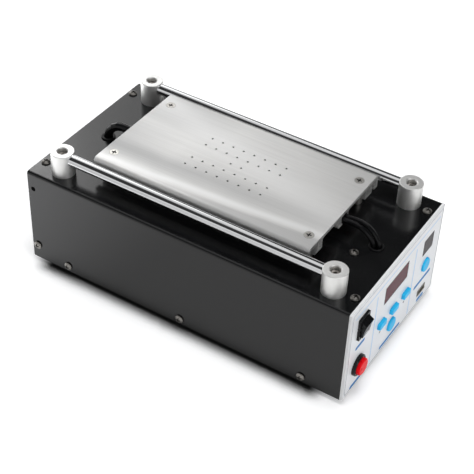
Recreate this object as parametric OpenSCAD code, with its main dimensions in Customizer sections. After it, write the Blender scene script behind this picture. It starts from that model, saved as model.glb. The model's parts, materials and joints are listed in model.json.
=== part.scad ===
// Screen separator for phones and tablets: a heated vacuum plate between two guide rods,
// carried on a folded steel case with its control panel on one short end.
// Lengths are in millimetres. +X points out of the control panel, +Z is up, and the
// rubber feet stand on z = 0 with the origin under the middle of the whole object.

/* [Case] */
// Length of the case, control panel included
case_l = 300; // [290:1:340]
// Width of the case
case_w = 157; // [155:1:180]
// Height of the case without its feet
case_h = 90; // [88:1:110]
// Thickness of the folded steel sheet
sheet_t = 1.2; // [0.8:0.1:1.6]
// Outside radius of the folds
bend_r = 2.4; // [2:0.1:3.5]
// Gap between the cover and the chassis inside it
slip_gap = 0.15; // [0.1:0.05:0.3]
// Depth of the flanges that take the cover's screws
flange_d = 12; // [10:0.5:16]
// Distance from the end of the case to the flange screws
flange_screw_in = 5.3; // [4.5:0.1:7]
// Distance from the case's sides to the four screws in the top
top_screw_in = 18; // [12:0.5:28]
// Distance from the case's ends to the outer screws near the foot of each side
side_screw_in = 37; // [30:0.5:60]
// Height above the case's underside of the screws near the foot of each side
side_screw_z = 5.6; // [4.5:0.1:8]
// Height of the lower rear side screws
rear_screw_low = 13.8; // [12:0.1:30]
// Height of the upper rear side screws
rear_screw_high = 74; // [60:0.5:82]
// Diameter of the rubber feet
foot_d = 18; // [14:0.5:24]
// Height of the rubber feet
foot_h = 5; // [3:0.5:12]
// Distance from the case's ends and sides to a foot's centre
foot_in = 20; // [15:0.5:30]

/* [Screws] */
// Thread diameter of the case and post screws
screw_d = 4; // [3:0.5:5]
// Head diameter of the case screws
screw_head_d = 7.4; // [6:0.1:9]
// Head height of the case screws
screw_head_h = 2.5; // [1.8:0.1:3.5]
// Length of the case screws under the head
screw_len = 8; // [6:0.5:12]
// Thread diameter of the small screws
small_d = 3; // [2.5:0.1:3.5]
// Clearance round a screw in its hole, on the radius
screw_gap = 0.2; // [0.1:0.05:0.4]

/* [Working plate] */
// Gap along the case between the working plate's ends and the posts
plate_post_gap = 16.25; // [6:0.25:20]
// Gap between the working plate's sides and the guide rods
plate_rod_gap = 2.1; // [1:0.1:6]
// Depth of the plate's extruded section
plate_h = 12; // [11:0.5:16]
// Height of the plate's top face above the case
plate_top = 21.4; // [20:0.2:30]
// Thickness of the plate's top web
web_t = 3; // [2.6:0.1:4]
// Thickness of the plate's side walls
side_wall_t = 2.2; // [1.6:0.1:3]
// Radius along the plate's long top edges
plate_edge_r = 3; // [1:0.5:6]
// Distance from the plate's sides to the axis of a box rib
box_rib_in = 15; // [12.5:0.5:16.5]
// Outside width of a box rib
box_rib_w = 11; // [9:0.5:12]
// Wall of a box rib
box_rib_t = 1.5; // [1:0.1:2]
// Distance from the plate's middle to a foot rib
foot_rib_y = 5.5; // [5.3:0.1:6.5]
// Thickness of a foot rib
foot_rib_t = 1.4; // [1:0.1:1.6]
// Width of the foot along a foot rib
foot_rib_w = 5.6; // [4:0.2:6]
// Pitch of the suction holes
hole_pitch = 10; // [9:0.5:10.5]
// Diameter of the suction holes
hole_d = 1.6; // [1:0.1:2.4]
// Distance from the plate's ends to its screws
plate_screw_in = 9; // [7:0.5:14]
// Head diameter of the plate's countersunk screws
plate_head_d = 8; // [6.5:0.1:8.4]
// Diameter of the plate's standoffs
standoff_d = 8; // [6.5:0.5:10]

/* [Posts and rods] */
// Diameter of the four posts
post_d = 19.5; // [18:0.5:24]
// Height of the four posts
post_h = 21; // [20.6:0.2:30]
// Distance from the case's ends to the posts' axes
post_in_x = 25; // [20:0.5:32]
// Distance from the case's sides to the posts' axes
post_in_y = 16.5; // [14:0.5:18]
// Diameter of the deep hole in a post's top
post_bore_d = 8.4; // [7.8:0.1:9]
// Height of the seat on which a post's screw head lies
post_seat = 14; // [8:0.5:16]
// Diameter of the guide rods
rod_d = 9.8; // [8:0.1:10]
// Height of the guide rods' axis above the case
rod_z = 15.6; // [12:0.1:15.6]
// Depth to which a rod enters a post, from the post's outermost line
rod_entry = 4.3; // [2:0.1:4.5]

/* [Control panel] */
// Thickness of the front plate
panel_t = 2; // [1.5:0.1:3]
// Thickness of the printed film on the front plate
label_t = 0.4; // [0.2:0.1:0.6]
// Width of plate left bare around the film
label_in = 1.8; // [1:0.1:3]
// Distance from the panel's side to the middle of the switch column
switch_in = 20; // [16:0.5:23]
// Place across the panel of the display column, from the middle
display_y = -1.8; // [-4:0.1:2]
// Distance from the panel's side to the middle of the meter column
meter_in = 24.3; // [20:0.1:28]
// Height of the power rocker's axis above the case's underside
rocker_z = 65.6; // [60:0.1:72]
// Height of the red button's axis
red_z = 23.6; // [16:0.1:32]
// Height of the middle of the display window
display_z = 64.9; // [60:0.1:70]
// Width of the display window
display_w = 38.2; // [34:0.1:42]
// Height of the display window's opening
display_h = 16; // [13:0.5:17]
// Width of the meter window
meter_w = 16.6; // [14:0.2:20]
// Height of the meter window's opening
meter_h = 14.5; // [12:0.5:16]
// Height of the middle of the three bar keys
key_z = 38; // [34:0.5:44]
// Width of a bar key
key_w = 11.2; // [9:0.1:14]
// Height of a bar key
key_h = 5.8; // [4.5:0.1:8]
// Pitch of the bar keys
key_pitch = 20.8; // [19:0.2:24]
// Reach of a bar key out of the panel
key_out = 2.8; // [2:0.1:5]
// Diameter of the round keys
round_d = 12.6; // [10:0.1:15]
// Reach of a round key out of the panel
round_out = 1.7; // [1.2:0.1:3]
// Height of the round key under the display
round_low_z = 20.8; // [16:0.2:24]
// Height of the round key under the meter
round_high_z = 42.6; // [38:0.2:46]
// Height of the charging socket
usb_z = 14.5; // [12:0.1:18]
// Clearance round a moving key or button
key_gap = 0.35; // [0.3:0.05:0.5]
// Inward travel of the keys
key_travel = 0.5; // [0.3:0.1:0.8]
// Inward travel of the red button
red_travel = 3; // [2:0.1:3.5]
// Tilt of the rocker from its middle place, at rest
rocker_tilt = 11; // [8:0.5:13]

/* [Hidden] */
$fn = 48;

// One overrun for every cut
over = 1;
// Looks of the materials
black_paint = "#2c2d30";
white_paint = "#e6e7e8";
steel = "#c3c6ca";
alu = "#d3d5d6";
sky_blue = "#3fbcf4";
board_green = "#1f6b45";
rubber_black = "#17181a";

// Case: the cover and the chassis end together, behind the front plate
front_x = case_l / 2;
rear_x = -case_l / 2;
panel_back_x = front_x - label_t - panel_t;
shell_l = panel_back_x - rear_x;
wall_in_x = panel_back_x - sheet_t;
chassis_w = case_w - 2 * (sheet_t + slip_gap);
chassis_h = case_h - sheet_t - slip_gap;
chassis_mid_x = (panel_back_x + rear_x) / 2;
flange_relief = 1;
top_screw_x = [rear_x + flange_screw_in, panel_back_x - flange_screw_in];
top_screw_y = case_w / 2 - top_screw_in;
side_screw_x = [rear_x + side_screw_in, 0, front_x - side_screw_in];
rear_screw_x = rear_x + flange_screw_in;
thread_gap = 0.05;

// Nuts
nut_af = 7;
nut_h = 3.2;

// Posts, and the working plate between them and the rods
post_x = case_l / 2 - post_in_x;
post_y = case_w / 2 - post_in_y;
plate_l = 2 * (post_x - post_d / 2 - plate_post_gap);
plate_w = 2 * (post_y - rod_d / 2 - plate_rod_gap);
plate_z = case_h + plate_top - plate_h;
web_z = plate_h - web_t;
inner_edge_r = 1;
side_lip_w = 5;
side_lip_t = 1.4;
foot_rib_h = 1.4;
box_rib_y = plate_w / 2 - box_rib_in;
bay_y = box_rib_y - box_rib_w / 2;
csk_d = 6.2;
csk_h = 1.6;
plate_head_h = (plate_head_d - screw_d) / 2;
hole_cols = 8;
plate_screw_x = plate_l / 2 - plate_screw_in;
standoff_h = plate_top - plate_h;

// Vacuum chamber, gasket and heater mat
chamber_wall = 5;
chamber_margin = 3;
chamber_side_gap = 1;
mill_room = 23;
row_room = bay_y - chamber_side_gap - chamber_wall - chamber_margin;
hole_rows = floor(row_room / hole_pitch);
chamber_pocket_l = (hole_cols - 1) * hole_pitch + 2 * chamber_margin;
chamber_pocket_w = 2 * hole_rows * hole_pitch + 2 * chamber_margin;
chamber_l = chamber_pocket_l + 2 * chamber_wall;
chamber_w = chamber_pocket_w + 2 * chamber_wall;
mill_l = chamber_l + 2 * mill_room;
gasket_t = 0.6;
chamber_lift = 1.2;
chamber_h = web_z - gasket_t - chamber_lift;
chamber_floor = 2.2;
chamber_screw_d = 2.5;
chamber_screw_bite = 2;
nipple_len = 7;
hose_d = 7.2;
hose_y = -1;
hose_z = 5.3;
mat_t = 1.6;
mat_gap = 1;
mat_end_in = 4;
mat_bridge = 18;
mat_block = [12, 6.6, 4.8];
sensor_block = [9, 5.6, 4.8];
lead_d = 4.2;

// Posts
post_chamfer = 0.4;
post_mouth = 0.7;
rod_fit = 0.05;
post_head_d = 7.2;
post_head_h = 3.2;
post_hex = 3;
post_hex_depth = 1.8;

// Grommets
grommet_d = 12;
grommet_neck = 10.8;
grommet_lip = 1.3;
grommet_under = 1.2;
lead_grommet_out = 29.4;
lead_grommet_y = -0.5;
hose_grommet_out = 25;
grommet_gap = 0.4;
lead_pitch = 4.7;
lead_hole_d = lead_pitch + lead_d + 2 * grommet_gap;
hose_hole_d = hose_d + 2 * grommet_gap;
lead_grommet_x = plate_l / 2 + lead_grommet_out;
hose_grommet_x = -plate_l / 2 - hose_grommet_out;
hose_grommet_y = -3;

// Columns of the panel
switch_y = -case_w / 2 + switch_in;
meter_y = case_w / 2 - meter_in;

// Windows
window_ledge = 2;
window_gap = 0.1;
window_r = 0.6;
display_box = [8, 37.6, 19];
meter_box = [6.5, 21, 17.5];

// Rocker switch
rocker_r = 8.5;
rocker_tip_z = 6.2;
rocker_valley = 5.4;
rocker_back = 3;
rocker_in = 0.6;
rocker_bezel = [2, 15.4, 20.8];
rocker_wall = 0.8;
rocker_cavity_w = 12;
rocker_w = rocker_cavity_w - 2 * key_gap;
rocker_cavity_h = 2 * (rocker_r + key_gap);
rocker_depth = 13;
rocker_floor = 1.5;
trunnion_r = 1.2;
trunnion_gap = 0.06;
trunnion_short = 0.2;
blade = [8, 4.8, 0.8];
blade_gap = 7;
body_gap = 0.1;

// Red push button
red_bezel_d = 18.6;
red_bezel_t = 3;
red_barrel_d = 16.4;
red_barrel_l = 21;
red_cap_d = 14.6;
red_cap_out = 5.8;
red_cap_h = 5.5;
red_cap_edge = 0.8;
red_stop_gap = 1.2;
red_recess = red_travel + red_stop_gap;
red_stem_d = 5;
red_web = 2;
red_chamber_d = 12;
red_collar_d = 8;
red_collar_h = 1.5;
red_stem_end = 12;
red_nut_af = 20;
red_nut_h = 3;

// Keys behind the panel
key_corner = 1.2;
key_bevel = 0.5;
key_lip = 1.2;
key_rest = 0.1;
key_stem_d = 3.4;
switch_size = 6;
switch_h = 3.8;
switch_well_d = 4.2;
stem_in_well = 0.9;
well_floor_gap = 0.3;
switch_well = stem_in_well + key_travel + well_floor_gap;
board_gap = 9;
board_t = 1.6;
board_front_x = wall_in_x - board_gap;
board_back_x = board_front_x - board_t;
board_switch_gap = 21.5;
board_side_gap = 5.5;
board_y0 = switch_y + board_switch_gap;
board_y1 = case_w / 2 - board_side_gap;
board_z0 = 6;
board_z1 = 82;
board_hole_in = 4;
pillar_af = 5.5;

// Charging socket
usb_w = 14.2;
usb_h = 6.4;
usb_wall = 0.4;
usb_len = 14;
usb_out = 0.4;
usb_tongue_w = 11.1;
usb_tongue_t = 1.84;
usb_tongue_len = 9;
usb_back = 2;

// Mains inlet in the rear wall
inlet_in = 38.5;
inlet_y = case_w / 2 - inlet_in;
inlet_z = 44;
inlet_flange = [3, 31, 48];
inlet_neck = [26.6, 30.4];
inlet_depth = 21;
inlet_cup = [22.4, 15.2];
inlet_cup_z = 6.2;
inlet_cup_depth = 16.5;
inlet_corner = 4.6;
inlet_screw_z = 20;
drawer = [14, 19, 8];
drawer_z = -9.6;
drawer_gap = 0.15;
drawer_grip = 1.4;
pin_size = [4, 2];
pin_len = 15;
pin_spread = 7;
pin_rise = 2;
pin_drop = -2;
tail_len = 7;

// Vacuum pump
pump_rear_in = 46;
pump_side_in = 58.5;
pump_x = rear_x + pump_rear_in;
pump_y = -case_w / 2 + pump_side_in;
pump_z = 24;
pump_head_l = 30;
pump_head_d = 31;
pump_motor_d = 27.4;
pump_motor_l = 38;
pump_boss_d = 10;
pump_boss_l = 2.4;
pump_shoulder = 2.4;
pump_nozzle_d = 4.6;
pump_inlet_l = 6;
pump_nozzle_l = 9;
pump_inlet_in = 9;
cradle_l = 24;
cradle_t = 1.5;
cradle_foot = 10;
cradle_gap = 0.1;

// Power board
power_l = 118;
power_pump_gap = 12.6;
power_x = pump_x + pump_motor_l + pump_boss_l + power_pump_gap + power_l / 2;
power_y = 6;
power_w = 84;
power_stand = 7;
power_hole_in = 5;
transformer_x = -24;
transformer_y = 14;
core_size = [48, 20, 40];
coil_size = [30, 36, 27];
cap_d = 16;
cap_h = 26;
cap_x = 20;
cap_pitch = 19;
cap_y = 30;
terminal_size = [9, 20, 11];
terminal_in = 5;
terminal_x = power_x + power_l / 2 - terminal_in;
terminal_y = -4;

// Earth screw in the top
earth_out = 18.6;
earth_x = plate_l / 2 + earth_out;
earth_y = -16.5;
thread_end = 0.4;
lug_d = 8.6;
lug_t = 0.8;
lug_l = 14;
lug_w = 5;

// The object's middle lies between the rocker's tip and the inlet's flange
rocker_tip_x = sqrt(rocker_r * rocker_r - rocker_tip_z * rocker_tip_z);
front_reach = rocker_tip_x * cos(rocker_tilt) + rocker_tip_z * sin(rocker_tilt) - rocker_in;
mid_x = (inlet_flange.x - front_reach) / 2;

// Routes of the leads and the hose, from the case's middle and underside
heater_lead_route = [
    [61, -2.4, 104.4], [80, -2.4, 104.4], [96, -2.4, 104.6], [104, -2.4, 105],
    [110, -2.4, 104.9], [115, -2.4, 103.8], [119, -2.3, 101.6], [122, -2.1, 98.8],
    [124.2, -1.9, 96], [125.6, -1.7, 93.4], [126.2, -1.6, 91], [126.3, -1.6, 88],
    [126.3, -1.8, 82], [126.2, -3, 72], [125.4, -5, 58], [122, -8, 44], [114, -10, 31],
    [102, -11, 20.5], [90, -11, 16], [80, -11, 15.3], [71, -11, 15.3]
];
sensor_lead_route = [
    [61, 2.4, 104.4], [80, 2.4, 104.4], [98, 2.4, 104.8], [107, 2.4, 105.2],
    [113.4, 2.4, 104.9], [118.8, 2.2, 103.4], [123, 1.9, 100.8], [126.2, 1.5, 97.6],
    [128.6, 1.1, 94.6], [130, 0.8, 92.2], [130.4, 0.6, 90.4], [130.5, 0.6, 87.8],
    [130.5, 0.6, 82], [129.8, 0.6, 70], [127.6, 0.8, 56], [122, 0.9, 42], [114, 0.6, 30],
    [102, 0, 20.5], [90, 0, 16], [80, 0, 15.3], [71, 0, 15.3]
];
hose_route = [
    [-50, -1, 104.7], [-70, -1, 104.7], [-90, -1, 104.7], [-104, -1.3, 104.8],
    [-110, -1.6, 104.9], [-114.4, -2, 104], [-118.4, -2.4, 101.7], [-121.4, -2.7, 98.5],
    [-123.3, -2.9, 94.9], [-124, -3, 91.2], [-124, -3, 87], [-124, -3.6, 78],
    [-124.2, -8, 69], [-124.6, -14, 61], [-124.9, -18.6, 54], [-125, -20, 49.5], [-125, -20, 45.5]
];

// Pieces of one colour are placed from the middle of the case's underside
module placed() {
    translate([mid_x, 0, foot_h]) children();
}

module along_x(len) {
    rotate([90, 0, 90]) linear_extrude(height = len) children();
}

module along_y(len) {
    rotate([90, 0, 0]) linear_extrude(height = len, center = true) children();
}

// A cut along Z, X or Y that runs from a start point through a length
module bore_z(r, len) {
    translate([0, 0, -over]) cylinder(r = r, h = len + 2 * over);
}

module bore_x(r, len) {
    rotate([0, 90, 0]) bore_z(r, len);
}

module bore_y(r, len) {
    rotate([-90, 0, 0]) bore_z(r, len);
}

module at_corners(x, y) {
    for (sx = [-1, 1], sy = [-1, 1]) translate([sx * x, sy * y, 0]) children();
}

module block(size) {
    translate([-size.x / 2, -size.y / 2, 0]) cube(size);
}

module round_rect(w, h, r) {
    square([w - 2 * r, h], center = true);
    square([w, h - 2 * r], center = true);
    for (sx = [-1, 1], sy = [-1, 1])
        translate([sx * (w / 2 - r), sy * (h / 2 - r)]) circle(r = r);
}

// A flat-bottomed outline with its two upper corners rounded
module arch(w, h, r) {
    translate([-w / 2, 0]) square([w, h - r]);
    translate([-w / 2 + r, 0]) square([w - 2 * r, h]);
    for (s = [-1, 1]) translate([s * (w / 2 - r), h - r]) circle(r = r);
}

// The section of a sheet folded down on both sides
module folded(w, h, r) {
    difference() {
        arch(w, h, r);
        translate([0, -over]) arch(w - 2 * sheet_t, h - sheet_t + over, r - sheet_t);
    }
}

module cross_recess(d, depth) {
    slot = d / 4;
    for (a = [0, 90]) rotate([0, 0, a])
        translate([-d / 2, -slot / 2, -depth]) cube([d, slot, depth + over]);
}

// A screw with a domed head on z = 0 and its shank below
module pan_screw(d, len, head_d, head_h) {
    dome_r = head_d * dome_share;
    difference() {
        intersection() {
            cylinder(d = head_d, h = head_h);
            translate([0, 0, head_h - dome_r]) sphere(r = dome_r);
        }
        translate([0, 0, head_h]) cross_recess(head_d * recess_share, head_h * recess_share);
    }
    translate([0, 0, -len]) cylinder(d = d, h = len);
}

module sunk_screw(d, len, head_d, head_h) {
    difference() {
        union() {
            translate([0, 0, -head_h]) cylinder(d1 = d, d2 = head_d, h = head_h);
            translate([0, 0, -len]) cylinder(d = d, h = len);
        }
        cross_recess(head_d * recess_share, head_h);
    }
}

module nut(d, af, h) {
    difference() {
        cylinder(d = af / cos(30), h = h, $fn = 6);
        bore_z(d / 2 + thread_gap, h);
    }
}

dome_share = 0.72;
recess_share = 0.55;

// Cuts through the panel for everything that is worked or plugged in
module control_cuts() {
    translate([switch_y, rocker_z])
        square([rocker_cavity_w + 2 * (rocker_wall + body_gap),
                rocker_cavity_h + 2 * (rocker_wall + body_gap)], center = true);
    translate([switch_y, red_z]) circle(d = red_barrel_d + 2 * body_gap);
    for (i = [-1, 0, 1]) translate([display_y + i * key_pitch, key_z])
        round_rect(key_w + 2 * key_gap, key_h + 2 * key_gap, key_corner + key_gap);
    translate([display_y, round_low_z]) circle(d = round_d + 2 * key_gap);
    translate([meter_y, round_high_z]) circle(d = round_d + 2 * key_gap);
    translate([meter_y, usb_z])
        square([usb_w + 2 * body_gap, usb_h + 2 * body_gap], center = true);
}

module window_cuts(grow) {
    translate([display_y, display_z])
        round_rect(display_w + 2 * grow, display_h + 2 * grow, window_r);
    translate([meter_y, display_z])
        round_rect(meter_w + 2 * grow, meter_h + 2 * grow, window_r);
}

module board_holes() {
    for (y = [board_y0 + board_hole_in, board_y1 - board_hole_in],
         z = [board_z0 + board_hole_in, board_z1 - board_hole_in])
        translate([0, y, z]) children();
}

module top_cover() {
    color(black_paint) placed() difference() {
        translate([rear_x, 0, 0]) along_x(shell_l) folded(case_w, case_h, bend_r);
        translate([0, 0, case_h - sheet_t]) {
            at_corners(post_x, post_y) bore_z(screw_d / 2 + screw_gap, sheet_t);
            at_corners(plate_screw_x, box_rib_y) bore_z(screw_d / 2 + screw_gap, sheet_t);
            for (x = top_screw_x, s = [-1, 1]) translate([x, s * top_screw_y, 0])
                bore_z(screw_d / 2 + screw_gap, sheet_t);
            translate([lead_grommet_x, lead_grommet_y, 0])
                bore_z(grommet_neck / 2 + thread_gap, sheet_t);
            translate([hose_grommet_x, hose_grommet_y, 0])
                bore_z(grommet_neck / 2 + thread_gap, sheet_t);
            translate([earth_x, earth_y, 0]) bore_z(screw_d / 2 + screw_gap, sheet_t);
        }
        for (x = side_screw_x) translate([x, -case_w / 2, side_screw_z])
            bore_y(screw_d / 2 + screw_gap, case_w);
        for (z = [rear_screw_low, rear_screw_high]) translate([rear_screw_x, -case_w / 2, z])
            bore_y(screw_d / 2 + screw_gap, case_w);
    }
}

// Bottom, front wall and rear wall with their top flanges, folded from one sheet
module chassis_loop() {
    translate([chassis_mid_x, 0, 0]) along_y(chassis_w - 2 * bend_r) difference() {
        translate([0, chassis_h / 2]) round_rect(shell_l, chassis_h, bend_r);
        translate([0, chassis_h / 2])
            round_rect(shell_l - 2 * sheet_t, chassis_h - 2 * sheet_t, bend_r - sheet_t);
        translate([-shell_l / 2 + flange_d, chassis_h / 2])
            square([shell_l - 2 * flange_d, chassis_h]);
    }
}

module chassis_bottom_flanges() {
    start_x = rear_x + flange_d + flange_relief;
    translate([start_x, 0, flange_d]) mirror([0, 0, 1])
        along_x(panel_back_x - bend_r - start_x) folded(chassis_w, flange_d, bend_r);
}

module chassis_rear_flanges() {
    translate([rear_x, 0, bend_r]) linear_extrude(height = chassis_h - 2 * bend_r)
        translate([flange_d, 0]) rotate([0, 0, 90]) folded(chassis_w, flange_d, bend_r);
}

module chassis() {
    color(black_paint) placed() difference() {
        union() {
            chassis_loop();
            chassis_bottom_flanges();
            chassis_rear_flanges();
        }
        translate([wall_in_x - over, 0, 0]) along_x(sheet_t + 2 * over) {
            control_cuts();
            window_cuts(-window_ledge);
        }
        translate([wall_in_x, 0, 0]) board_holes() bore_x(small_d / 2 + thread_gap, sheet_t);
        for (x = top_screw_x, s = [-1, 1])
            translate([x, s * top_screw_y, chassis_h - sheet_t])
                bore_z(screw_d / 2 + thread_gap, sheet_t);
        for (x = side_screw_x) translate([x, -case_w / 2, side_screw_z])
            bore_y(screw_d / 2 + thread_gap, case_w);
        for (z = [rear_screw_low, rear_screw_high]) translate([rear_screw_x, -case_w / 2, z])
            bore_y(screw_d / 2 + thread_gap, case_w);
        at_corners(case_l / 2 - foot_in, case_w / 2 - foot_in)
            bore_z(small_d / 2 + thread_gap, sheet_t);
        translate([power_x, power_y, 0])
            at_corners(power_l / 2 - power_hole_in, power_w / 2 - power_hole_in)
                bore_z(small_d / 2 + thread_gap, sheet_t);
        translate([rear_x, inlet_y, inlet_z]) {
            translate([-over, 0, 0]) along_x(sheet_t + 2 * over)
                square([inlet_neck.x + 2 * body_gap, inlet_neck.y + 2 * body_gap], center = true);
            for (s = [-1, 1]) translate([0, 0, s * inlet_screw_z])
                bore_x(small_d / 2 + thread_gap, sheet_t);
        }
    }
}

module front_plate() {
    color(white_paint) placed() difference() {
        translate([panel_back_x, 0, case_h / 2]) along_x(panel_t)
            round_rect(case_w, case_h, bend_r - sheet_t);
        translate([panel_back_x - over, 0, 0]) along_x(panel_t + 2 * over) {
            control_cuts();
            window_cuts(window_gap);
        }
    }
}

module panel_film() {
    color("#f4f5f7") placed() difference() {
        translate([front_x - label_t, 0, case_h / 2]) along_x(label_t)
            round_rect(case_w - 2 * label_in, case_h - 2 * label_in, bend_r);
        translate([front_x - label_t - over, 0, 0]) along_x(label_t + 2 * over) {
            control_cuts();
            window_cuts(window_gap);
        }
    }
}

module rubber_feet() {
    color(rubber_black) translate([mid_x, 0, 0])
        at_corners(case_l / 2 - foot_in, case_w / 2 - foot_in) difference() {
            cylinder(d1 = foot_d - foot_h * foot_taper_share, d2 = foot_d, h = foot_h);
            bore_z(small_d / 2 + screw_gap, foot_h);
            translate([0, 0, -over]) cylinder(d = foot_well_d, h = foot_h * foot_well_share + over);
        }
}

foot_taper_share = 0.4;
foot_well_share = 0.6;
foot_well_d = 7.4;

module foot_screws() {
    color(steel) translate([mid_x, 0, foot_h * foot_well_share])
        at_corners(case_l / 2 - foot_in, case_w / 2 - foot_in) mirror([0, 0, 1])
            pan_screw(small_d, screw_len - foot_h * foot_well_share, foot_head_d, foot_head_h);
}

foot_head_d = 5.6;
foot_head_h = 2;

module top_screws() {
    color(steel) placed() for (x = top_screw_x, s = [-1, 1])
        translate([x, s * top_screw_y, case_h])
            pan_screw(screw_d, screw_len, screw_head_d, screw_head_h);
}

// One upper rear hole on the near side holds no screw
module side_screws() {
    color(steel) placed() {
        for (x = side_screw_x, s = [-1, 1]) side_screw(x, side_screw_z, s);
        for (s = [-1, 1]) side_screw(rear_screw_x, rear_screw_low, s);
        side_screw(rear_screw_x, rear_screw_high, 1);
    }
}

module side_screw(x, z, s) {
    translate([x, s * case_w / 2, z]) rotate([-s * 90, 0, 0])
        pan_screw(screw_d, screw_len, screw_head_d, screw_head_h);
}

// Section of the extruded plate: lipped side walls, two box ribs and two footed ribs
module plate_section() {
    difference() {
        arch(plate_w, plate_h, plate_edge_r);
        translate([0, -over]) arch(plate_w - 2 * side_wall_t, web_z + over, inner_edge_r);
    }
    for (s = [-1, 1]) {
        translate([s * (plate_w - side_lip_w) / 2 - side_lip_w / 2, 0])
            square([side_lip_w, side_lip_t]);
        translate([s * box_rib_y, 0]) difference() {
            translate([-box_rib_w / 2, 0]) square([box_rib_w, plate_h - web_t / 2]);
            translate([-box_rib_w / 2 + box_rib_t, box_rib_t])
                square([box_rib_w - 2 * box_rib_t, web_z - box_rib_t]);
        }
        translate([s * foot_rib_y, 0]) {
            translate([-foot_rib_t / 2, 0]) square([foot_rib_t, plate_h - web_t / 2]);
            translate([-foot_rib_w / 2, 0]) square([foot_rib_w, foot_rib_h]);
        }
    }
}

// Rows of the suction holes: the middle row has only its two middle holes
module suction_holes() {
    for (row = [-hole_rows : hole_rows], col = [0 : hole_cols - 1])
        if (row != 0 || abs(col - (hole_cols - 1) / 2) < 1)
            translate([(col - (hole_cols - 1) / 2) * hole_pitch, row * hole_pitch, web_z])
                bore_z(hole_d / 2, web_t);
}

module working_plate() {
    color(alu) placed() translate([0, 0, plate_z]) difference() {
        translate([-plate_l / 2, 0, 0]) along_x(plate_l) plate_section();
        translate([-mill_l / 2, -bay_y + mat_gap, -over])
            cube([mill_l, 2 * (bay_y - mat_gap), web_z + over]);
        suction_holes();
        at_corners(plate_screw_x, box_rib_y) {
            bore_z(screw_d / 2 + screw_gap, plate_h);
            translate([0, 0, plate_h - plate_head_h])
                cylinder(d1 = screw_d + 2 * screw_gap, d2 = plate_head_d + 2 * screw_gap,
                    h = plate_head_h);
        }
        at_corners(chamber_l / 2 - chamber_wall / 2, chamber_w / 2 - chamber_wall / 2)
            translate([0, 0, web_z - over])
                cylinder(d = chamber_screw_d + 2 * thread_gap, h = chamber_screw_bite + over);
    }
}

module plate_screws() {
    color(steel) placed() translate([0, 0, case_h + plate_top])
        at_corners(plate_screw_x, box_rib_y)
            sunk_screw(screw_d, plate_top + sheet_t + nut_h, plate_head_d, plate_head_h);
}

module plate_standoffs() {
    color(steel) placed() translate([0, 0, case_h]) at_corners(plate_screw_x, box_rib_y)
        difference() {
            cylinder(d = standoff_d, h = standoff_h);
            bore_z(screw_d / 2 + screw_gap, standoff_h);
        }
}

module standoff_nuts() {
    color(steel) placed() translate([0, 0, case_h - sheet_t - nut_h])
        at_corners(plate_screw_x, box_rib_y) nut(screw_d, nut_af, nut_h);
}

// A flat mat round three sides of the vacuum chamber, with a block where its lead leaves
module heater_mat() {
    mat_l = plate_l - 2 * mat_end_in;
    mat_w = 2 * (bay_y - mat_gap);
    inner_l = chamber_l + 2 * mat_gap;
    inner_w = chamber_w + 2 * mat_gap;
    slot_w = 2 * foot_rib_y + foot_rib_t + 2 * mat_gap;
    color("#b5472c") placed() translate([0, 0, plate_z + web_z - mat_t]) {
        linear_extrude(height = mat_t) difference() {
            square([mat_l, mat_w], center = true);
            square([inner_l, inner_w], center = true);
            translate([-mat_l / 2 - over, -slot_w / 2])
                square([mat_l / 2 - inner_l / 2 + 2 * over, slot_w]);
            translate([inner_l / 2 + mat_bridge, -slot_w / 2]) square([mat_l, slot_w]);
        }
        translate([lead_start_x - mat_block.x, -mat_block.y - block_gap / 2, -mat_block.z])
            cube(mat_block);
    }
}

block_gap = 0.6;
lead_start_x = chamber_l / 2 + mat_bridge;

module temp_sensor() {
    color(rubber_black) placed()
        translate([lead_start_x - sensor_block.x, block_gap / 2,
                   plate_z + web_z - mat_t - sensor_block.z]) cube(sensor_block);
}

module chamber_gasket() {
    color("#8f3b2d") placed() translate([0, 0, plate_z + web_z - gasket_t])
        linear_extrude(height = gasket_t) difference() {
            square([chamber_l, chamber_w], center = true);
            square([chamber_pocket_l, chamber_pocket_w], center = true);
            for (sx = [-1, 1], sy = [-1, 1])
                translate([sx * (chamber_l - chamber_wall) / 2, sy * (chamber_w - chamber_wall) / 2])
                    circle(d = chamber_screw_d + 2 * screw_gap);
        }
}

module vacuum_chamber() {
    chamber_z = plate_z + web_z - gasket_t - chamber_h;
    color(alu) placed() difference() {
        union() {
            translate([0, 0, chamber_z]) block([chamber_l, chamber_w, chamber_h]);
            translate([-chamber_l / 2 - nipple_len, hose_y, plate_z + hose_z])
                rotate([0, 90, 0]) cylinder(d = hose_nipple_d, h = nipple_len + chamber_wall / 2);
        }
        translate([0, 0, chamber_z + chamber_floor])
            block([chamber_pocket_l, chamber_pocket_w, chamber_h]);
        translate([-chamber_l / 2 - nipple_len, hose_y, plate_z + hose_z])
            bore_x(hose_bore_d / 2, nipple_len + chamber_wall);
        translate([0, 0, chamber_z])
            at_corners((chamber_l - chamber_wall) / 2, (chamber_w - chamber_wall) / 2)
                bore_z(chamber_screw_d / 2 + thread_gap, chamber_h);
    }
}

hose_nipple_d = 5.2;
hose_bore_d = 2.6;

module chamber_screws() {
    chamber_z = plate_z + web_z - gasket_t - chamber_h;
    color(steel) placed() translate([0, 0, chamber_z])
        at_corners((chamber_l - chamber_wall) / 2, (chamber_w - chamber_wall) / 2)
            mirror([0, 0, 1])
                pan_screw(chamber_screw_d, chamber_h + gasket_t + chamber_screw_bite,
                          chamber_head_d, chamber_head_h);
}

chamber_head_d = 4.6;
chamber_head_h = 1.8;

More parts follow.
